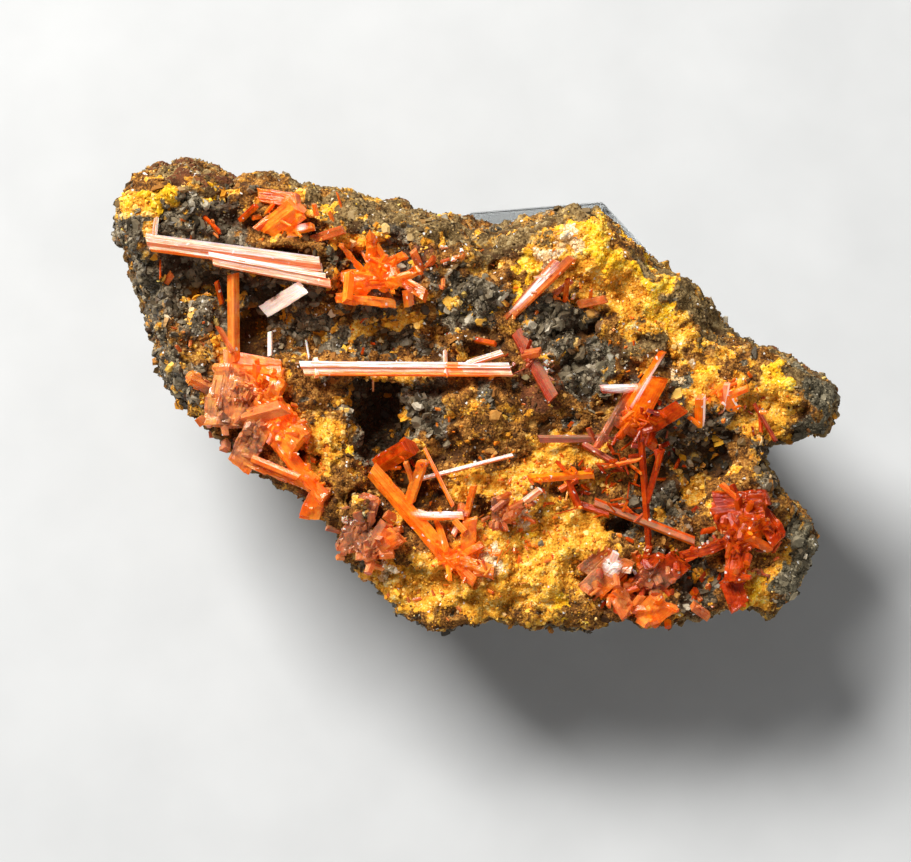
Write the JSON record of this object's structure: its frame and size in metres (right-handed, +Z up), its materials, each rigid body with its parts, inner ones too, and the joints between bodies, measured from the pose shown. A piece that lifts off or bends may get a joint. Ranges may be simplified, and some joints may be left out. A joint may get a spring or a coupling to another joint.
{
  "type": "crocoite mineral specimen",
  "caption": "Lump of vuggy iron-stained rock with long orange-red crocoite prisms lying across its face, resting tilted on a low clear display block.",
  "frame": {"origin": "middle of the display block's underside, where the object rests", "axes": "+X along the rock's length, +Y toward its high back edge, +Z up; the rock's face leans 18 degrees toward -Y"},
  "size_m": [0.0929, 0.0637, 0.0449],
  "materials": {
    "clear_acrylic": "clear and polished",
    "iron_stained_rock": "rough ochre, rust and brown-black",
    "pale_crocoite": "glossy with fine lengthwise lines",
    "orange_crocoite": "glossy",
    "red_crocoite": "glossy",
    "pink_crocoite": "glossy",
    "dark_crocoite": "glossy"
  },
  "bodies": {
    "root": {"display_block": "clear_acrylic", "matrix": "iron_stained_rock", "long_pair": "pale_crocoite", "white_plate": "pale_crocoite", "long_middle_prism": "pale_crocoite", "thin_needle": "pale_crocoite", "crossed_needles": "pale_crocoite", "thick_prisms": "orange_crocoite", "sunburst": "orange_crocoite", "spray": "orange_crocoite", "edge_cluster": "orange_crocoite", "top_stub": "orange_crocoite", "top_prisms": "orange_crocoite", "red_sliver": "red_crocoite", "top_blade": "red_crocoite", "corner_sliver": "red_crocoite", "pair_sliver": "red_crocoite", "red_block": "red_crocoite", "left_splinter": "red_crocoite", "fan": "red_crocoite", "crossing_prisms": "red_crocoite", "lower_rods": "red_crocoite", "lower_plates": "red_crocoite", "right_cluster": "red_crocoite", "pink_blade": "pink_crocoite", "small_blades": "pink_crocoite", "diagonal_pair": "pink_crocoite", "pair_blade": "pink_crocoite", "plate_cluster": "pink_crocoite", "brown_lump_crystals": "pink_crocoite", "big_plate": "pink_crocoite", "edge_plates": "pink_crocoite", "edge_chip": "pink_crocoite", "brown_blade": "dark_crocoite", "red_rods": "dark_crocoite", "right_needles": "dark_crocoite"}
  },
  "joints": []
}
